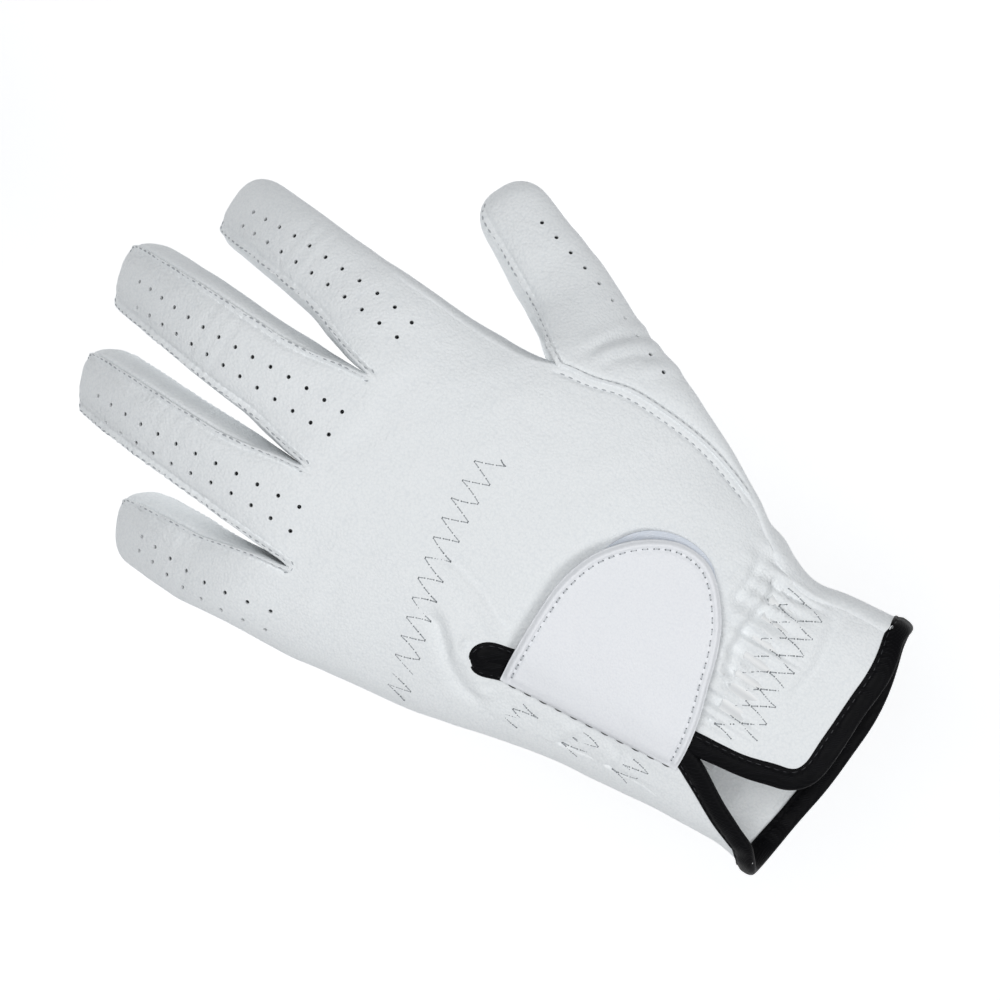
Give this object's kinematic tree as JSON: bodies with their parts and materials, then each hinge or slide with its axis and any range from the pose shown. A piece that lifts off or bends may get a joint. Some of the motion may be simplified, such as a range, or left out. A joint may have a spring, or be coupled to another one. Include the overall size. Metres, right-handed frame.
{
  "type": "golf glove",
  "caption": "Left-hand golf glove in thin white leather with perforated fingers, a hook-and-loop tab over the slit in its back and black fabric binding.",
  "frame": {"origin": "middle of the glove's outline seen from above, at the height of the palm's heel", "axes": "+X towards the thumb, +Y towards the fingertips, +Z out of the back of the hand"},
  "size_m": [0.1383, 0.2258, 0.0461],
  "materials": {
    "leather": "fine-grain white leather, matt",
    "tab_leather": "smooth white leather, matt",
    "binding": "black woven binding with a slight sheen",
    "hook_and_loop": "pale blue-white hook-and-loop fabric",
    "elastic": "white woven elastic tape"
  },
  "bodies": {
    "hand": {"back_panel": "leather", "palm_panel": "leather", "index_side_wrap": "leather", "wrist_side": "leather", "thumb_base": "leather", "slit_binding": "binding", "cuff_binding_back": "binding", "cuff_binding_palm": "binding", "back_elastic": "elastic", "wrist_elastic_back": "elastic", "wrist_elastic_palm": "elastic", "loop_patch": "hook_and_loop"},
    "tab": {"tab_leather": "tab_leather", "tab_hook_patch": "hook_and_loop"},
    "index_lower": {"index_base_bend": "leather", "index_lower_back": "leather", "index_lower_palm": "leather", "index_lower_ulnar_fourchette": "leather"},
    "index_tip": {"index_middle_bend": "leather", "index_tip_back": "leather", "index_tip_palm": "leather", "index_tip_ulnar_fourchette": "leather"},
    "middle_lower": {"middle_base_bend": "leather", "middle_lower_back": "leather", "middle_lower_palm": "leather", "middle_lower_ulnar_fourchette": "leather", "middle_lower_radial_fourchette": "leather"},
    "middle_tip": {"middle_middle_bend": "leather", "middle_tip_back": "leather", "middle_tip_palm": "leather", "middle_tip_ulnar_fourchette": "leather", "middle_tip_radial_fourchette": "leather"},
    "ring_lower": {"ring_base_bend": "leather", "ring_lower_back": "leather", "ring_lower_palm": "leather", "ring_lower_ulnar_fourchette": "leather", "ring_lower_radial_fourchette": "leather"},
    "ring_tip": {"ring_middle_bend": "leather", "ring_tip_back": "leather", "ring_tip_palm": "leather", "ring_tip_ulnar_fourchette": "leather", "ring_tip_radial_fourchette": "leather"},
    "little_lower": {"little_base_bend": "leather", "little_lower_back": "leather", "little_lower_palm": "leather", "little_lower_radial_fourchette": "leather"},
    "little_tip": {"little_middle_bend": "leather", "little_tip_back": "leather", "little_tip_palm": "leather", "little_tip_radial_fourchette": "leather"},
    "thumb_lower": {"thumb_base_bend": "leather", "thumb_lower_back": "leather", "thumb_lower_palm": "leather", "thumb_lower_inner_side": "leather"},
    "thumb_tip": {"thumb_middle_bend": "leather", "thumb_tip_back": "leather", "thumb_tip_palm": "leather", "thumb_tip_inner_side": "leather"}
  },
  "joints": [
    {"name": "tab_hinge", "type": "hinge", "parent": "hand", "child": "tab", "pos_m": [-0.03868, -0.05247, 0.03602], "axis": [0.1111, -0.9893, -0.0945], "range_deg": [0, 150]},
    {"name": "index_base_bend", "type": "hinge", "parent": "hand", "child": "index_lower", "pos_m": [0.0189, 0.05029, 0.02973], "axis": [-0.9953, 0.0846, 0.0473], "range_deg": [-15, 62], "deforming": ["index_base_bend"]},
    {"name": "index_middle_bend", "type": "hinge", "parent": "index_lower", "child": "index_tip", "pos_m": [0.02045, 0.06931, 0.02333], "axis": [-0.9974, 0.072, -0.0093], "range_deg": [-18, 76], "deforming": ["index_middle_bend"]},
    {"name": "middle_base_bend", "type": "hinge", "parent": "hand", "child": "middle_lower", "pos_m": [-0.00971, 0.05304, 0.03177], "axis": [-0.9852, 0.0318, -0.1687], "range_deg": [-15, 62], "deforming": ["middle_base_bend"]},
    {"name": "middle_middle_bend", "type": "hinge", "parent": "middle_lower", "child": "middle_tip", "pos_m": [-0.00846, 0.07702, 0.02607], "axis": [-0.9717, -0.0462, -0.2318], "range_deg": [-18, 80], "deforming": ["middle_middle_bend"]},
    {"name": "ring_base_bend", "type": "hinge", "parent": "hand", "child": "ring_lower", "pos_m": [-0.03512, 0.05215, 0.02978], "axis": [-0.9626, -0.0186, -0.2701], "range_deg": [-15, 62], "deforming": ["ring_base_bend"]},
    {"name": "ring_middle_bend", "type": "hinge", "parent": "ring_lower", "child": "ring_tip", "pos_m": [-0.03482, 0.07372, 0.0242], "axis": [-0.9382, -0.1293, -0.3212], "range_deg": [-18, 80], "deforming": ["ring_middle_bend"]},
    {"name": "little_base_bend", "type": "hinge", "parent": "hand", "child": "little_lower", "pos_m": [-0.05805, 0.03868, 0.02488], "axis": [-0.9574, -0.111, -0.2664], "range_deg": [-15, 60], "deforming": ["little_base_bend"]},
    {"name": "little_middle_bend", "type": "hinge", "parent": "little_lower", "child": "little_tip", "pos_m": [-0.05884, 0.05338, 0.01926], "axis": [-0.9245, -0.2319, -0.3025], "range_deg": [-18, 78], "deforming": ["little_middle_bend"]},
    {"name": "thumb_base_bend", "type": "hinge", "parent": "hand", "child": "thumb_lower", "pos_m": [0.04667, 0.00455, 0.01873], "axis": [-0.828, 0.4182, 0.3734], "range_deg": [-12, 32], "deforming": ["thumb_base_bend"]},
    {"name": "thumb_middle_bend", "type": "hinge", "parent": "thumb_lower", "child": "thumb_tip", "pos_m": [0.05318, 0.01987, 0.0155], "axis": [-0.7705, 0.4572, 0.4442], "range_deg": [-15, 50], "deforming": ["thumb_middle_bend"]}
  ]
}
